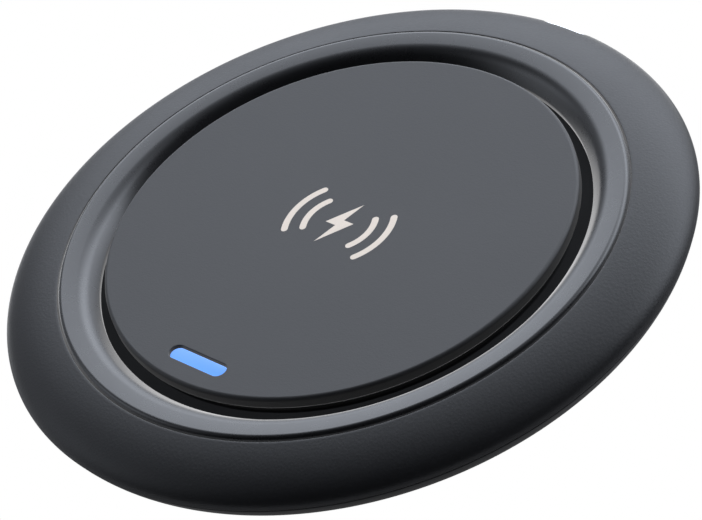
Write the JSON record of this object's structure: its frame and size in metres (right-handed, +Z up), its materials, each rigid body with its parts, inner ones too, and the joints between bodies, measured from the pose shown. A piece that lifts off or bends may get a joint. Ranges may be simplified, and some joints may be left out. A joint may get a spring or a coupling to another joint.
{
  "type": "wireless charging pad",
  "caption": "Round flat wireless charging pad with a domed casing ring, a satin dish ring round a raised phone disc, and a pill-shaped light window.",
  "frame": {"origin": "centre of the foot ring's underside, on the surface the pad stands on", "axes": "+Z up out of the phone disc, +Y to the rear where the supply socket is, light window toward -Y"},
  "size_m": [0.1, 0.0998, 0.01],
  "materials": {
    "soft_touch": "soft-touch paint, fine texture",
    "satin_plastic": "satin",
    "disc_face": "fine matte texture",
    "dark_moulding": "matte",
    "light_window": "translucent, lit blue",
    "black_foam": "open-cell foam",
    "silicone": "matte silicone",
    "adhesive_film": "double-sided film",
    "steel": "plated",
    "copper_wire": "enamelled stranded wire",
    "ferrite": "sintered",
    "black_moulding": "moulded",
    "gap_filler": "soft gap filler",
    "board_laminate": "solder resist",
    "capacitor_body": "fired ceramic",
    "led_body": "white package"
  },
  "bodies": {
    "root": {"base_shell": "soft_touch", "outer_ring": "soft_touch", "dish_ring": "satin_plastic", "top_deck": "dark_moulding", "centre_disc": "disc_face", "disc_adhesive": "adhesive_film", "light_guide": "light_window", "light_baffle": "black_foam", "foot_ring": "silicone", "screw_1": "steel", "screw_2": "steel", "screw_3": "steel", "screw_4": "steel", "transmitter_coil": "copper_wire", "ferrite_plate": "ferrite", "coil_carrier": "black_moulding", "coil_lead_inner": "copper_wire", "coil_lead_outer": "copper_wire", "thermistor": "black_moulding", "thermal_pad": "gap_filler", "main_pcb": "board_laminate", "usb_shell": "steel", "usb_tongue": "black_moulding", "controller_ic": "black_moulding", "driver_ic": "black_moulding", "crystal": "steel", "power_inductor": "ferrite", "bulk_capacitor": "capacitor_body", "mosfet_1": "black_moulding", "mosfet_2": "black_moulding", "mosfet_3": "black_moulding", "mosfet_4": "black_moulding", "resonant_capacitor_1": "capacitor_body", "resonant_capacitor_2": "capacitor_body", "resonant_capacitor_3": "capacitor_body", "resonant_capacitor_4": "capacitor_body", "status_led": "led_body"}
  },
  "joints": []
}
